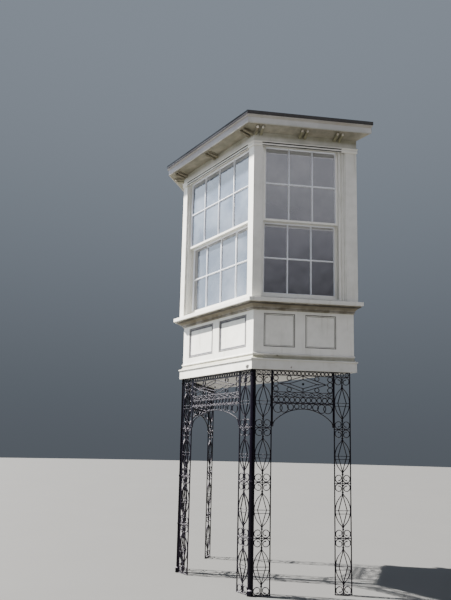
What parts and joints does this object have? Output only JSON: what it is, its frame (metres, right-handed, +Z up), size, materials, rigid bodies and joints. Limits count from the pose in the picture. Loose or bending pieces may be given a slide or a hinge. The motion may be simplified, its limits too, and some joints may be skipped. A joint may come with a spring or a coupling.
{
  "type": "canted bay window on an iron trellis porch",
  "caption": "Canted timber bay window of sash windows with a panelled apron and bracketed cornice, standing on an ornamental iron trellis porch, open at the back where it meets the house wall.",
  "frame": {"origin": "on the ground, under the middle of the whole box", "axes": "+Z up; -Y is the front face's outward direction; +Y towards the house wall; +X to the right as seen from the front"},
  "size_m": [3.1676, 1.244, 5.337],
  "materials": {
    "painted_timber": "old off-white gloss paint, weathered",
    "bare_boards": "bare softwood boards, oiled",
    "ceiling_plaster": "matt white boards",
    "window_glass": "clear, slightly wavy",
    "roof_lead": "dull dark grey sheet lead",
    "ironwork": "black gloss paint"
  },
  "bodies": {
    "root": {"porch_ceiling": "painted_timber", "floor_joists": "bare_boards", "floor_deck": "bare_boards", "plinth_board": "painted_timber", "base_mould": "painted_timber", "apron_front": "painted_timber", "apron_left": "painted_timber", "apron_right": "painted_timber", "apron_panels": "painted_timber", "apron_wall": "painted_timber", "bed_mould": "painted_timber", "window_sill": "painted_timber", "corner_post_left": "painted_timber", "corner_post_right": "painted_timber", "wall_pilaster_left": "painted_timber", "wall_pilaster_right": "painted_timber", "front_window_frame": "painted_timber", "left_window_frame": "painted_timber", "right_window_frame": "painted_timber", "front_upper_sash": "painted_timber", "front_lower_sash": "painted_timber", "left_upper_sash": "painted_timber", "left_lower_sash": "painted_timber", "right_upper_sash": "painted_timber", "right_lower_sash": "painted_timber", "window_glass": "window_glass", "frieze": "painted_timber", "head_mould": "painted_timber", "soffit": "painted_timber", "cornice_brackets": "painted_timber", "crown_moulding": "painted_timber", "ceiling": "ceiling_plaster", "lead_roof": "roof_lead", "iron_front_post_left": "ironwork", "iron_front_post_right": "ironwork", "iron_side_post_left": "ironwork", "iron_side_post_right": "ironwork", "iron_wall_post_left": "ironwork", "iron_wall_post_right": "ironwork", "front_frieze": "ironwork", "left_frieze": "ironwork", "right_frieze": "ironwork", "front_arch": "ironwork", "left_arch": "ironwork", "right_arch": "ironwork"}
  },
  "joints": []
}
